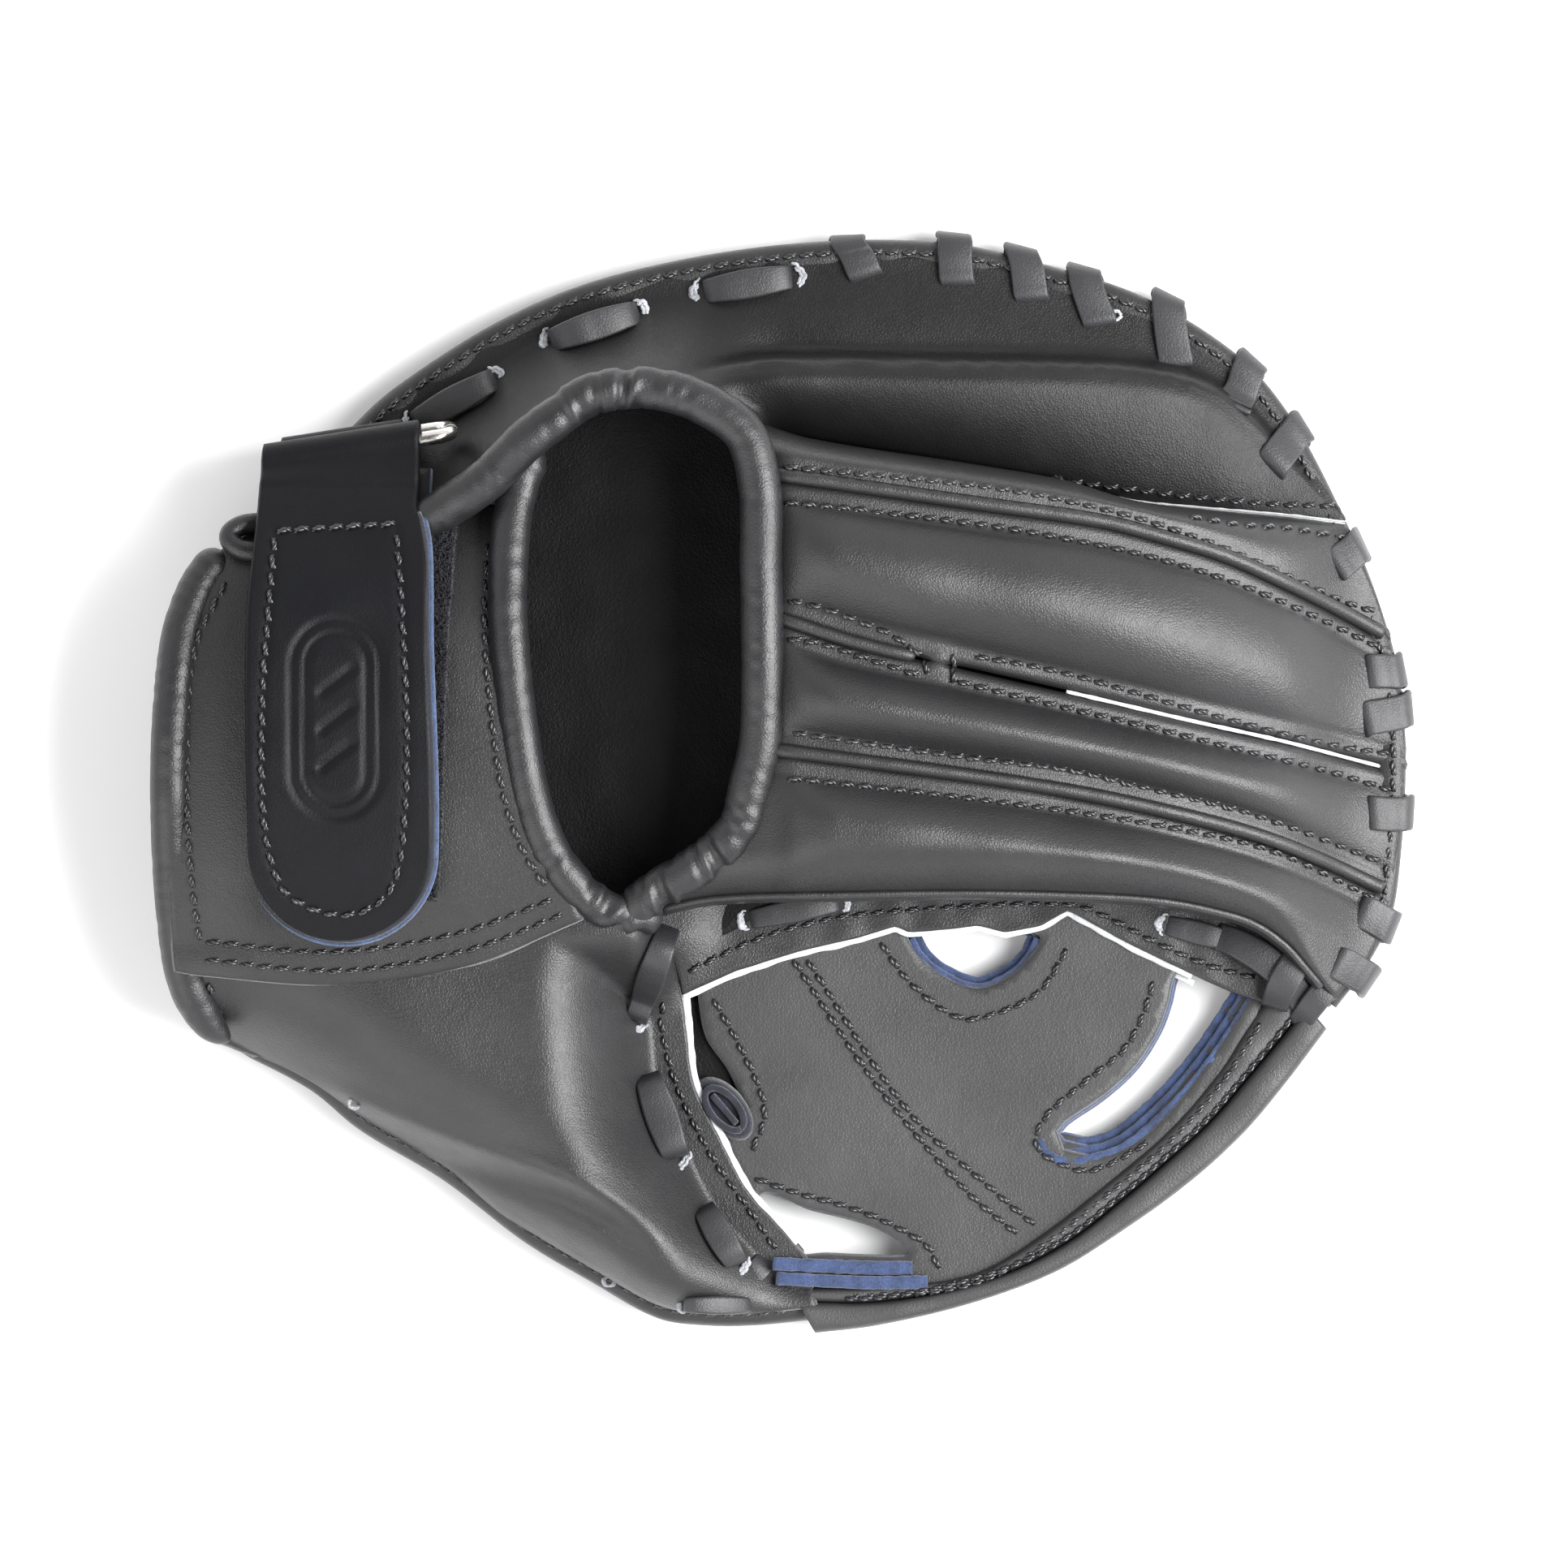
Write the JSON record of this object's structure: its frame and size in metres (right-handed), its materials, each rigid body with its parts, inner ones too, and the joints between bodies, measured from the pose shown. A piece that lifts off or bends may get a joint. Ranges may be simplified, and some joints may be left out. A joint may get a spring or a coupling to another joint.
{
  "type": "catcher's mitt",
  "caption": "Flat round training catcher's mitt for the left hand, palm down: padded palm, open back, strap with ring, laced rim and leather web.",
  "frame": {"origin": "centre of the outline on the floor plane that the palm face lies on", "axes": "+X towards the fingertips, +Y towards the little finger, +Z out of the back of the hand"},
  "size_m": [0.2727, 0.2387, 0.053],
  "materials": {
    "black_leather": "smooth satin black hide with fine grain",
    "web_leather": "satin black hide, blue-dyed raw edges",
    "lining_leather": "grained matt black lining hide",
    "lace_leather": "satin black lace with grey raw edges",
    "white_felt": "pressed wool felt",
    "hook_and_loop": "napped hook-and-loop tape",
    "nickel": "bright nickel plate"
  },
  "bodies": {
    "finger_side": {"palm_shell": "black_leather", "palm_felt_lower": "white_felt", "palm_felt_upper": "white_felt", "palm_lining": "lining_leather", "heel_binding": "black_leather", "rim_binding": "black_leather", "rim_wrap_laces": "lace_leather", "running_lace": "lace_leather", "crotch_lace": "lace_leather", "web_tip_lace": "lace_leather", "pinky_back_panel": "black_leather", "pinky_stall_lining": "lining_leather", "ring_back_panel": "black_leather", "ring_stall_lining": "lining_leather", "middle_back_panel": "black_leather", "middle_stall_lining": "lining_leather", "index_back_panel": "black_leather", "index_stall_lining": "lining_leather", "ring_seam_welt": "black_leather", "middle_seam_welt": "black_leather", "index_seam_welt": "black_leather", "ring_stall_divider": "lining_leather", "middle_stall_divider": "lining_leather", "index_stall_divider": "lining_leather", "ring_side_gusset": "black_leather", "index_side_gusset": "black_leather", "wrist_back_panel": "black_leather", "wrist_lining": "lining_leather", "wrist_binding": "black_leather", "binding_loop": "black_leather", "lower_strap": "black_leather", "loop_patch": "hook_and_loop", "thumb_base_panel": "black_leather", "opening_finger_roll": "black_leather", "opening_wrist_roll": "black_leather", "web_palm_strip": "web_leather", "web_back_strip": "web_leather", "ring_tab": "black_leather"},
    "thumb_side": {"thumb_palm_shell": "black_leather", "thumb_felt_lower": "white_felt", "thumb_felt_upper": "white_felt", "thumb_lining": "lining_leather", "thumb_back_panel": "black_leather", "thumb_stall_lining": "lining_leather", "thumb_rim_binding": "black_leather", "thumb_lace": "lace_leather", "web_palm_layer": "web_leather", "web_back_layer": "web_leather", "web_tube": "black_leather", "web_inner_fold": "web_leather"},
    "ring": {"strap_ring": "nickel"},
    "strap": {"strap_flap": "black_leather", "hook_patch": "hook_and_loop"}
  },
  "joints": [
    {"name": "mitt_close", "type": "hinge", "parent": "finger_side", "child": "thumb_side", "pos_m": [0, -0.05, 0], "axis": [0.999, 0.045, 0], "range_deg": [0, 40], "stiffness_Nm_per_rad": 1.2},
    {"name": "ring_tilt", "type": "hinge", "parent": "finger_side", "child": "ring", "pos_m": [-0.0948, 0.0734, 0.0212], "axis": [-0.988, -0.1547, 0], "range_deg": [0, 25]},
    {"name": "strap_open", "type": "hinge", "parent": "ring", "child": "strap", "pos_m": [-0.0945, 0.07148, 0.03121], "axis": [-0.988, -0.1547, 0], "range_deg": [0, 150]}
  ]
}
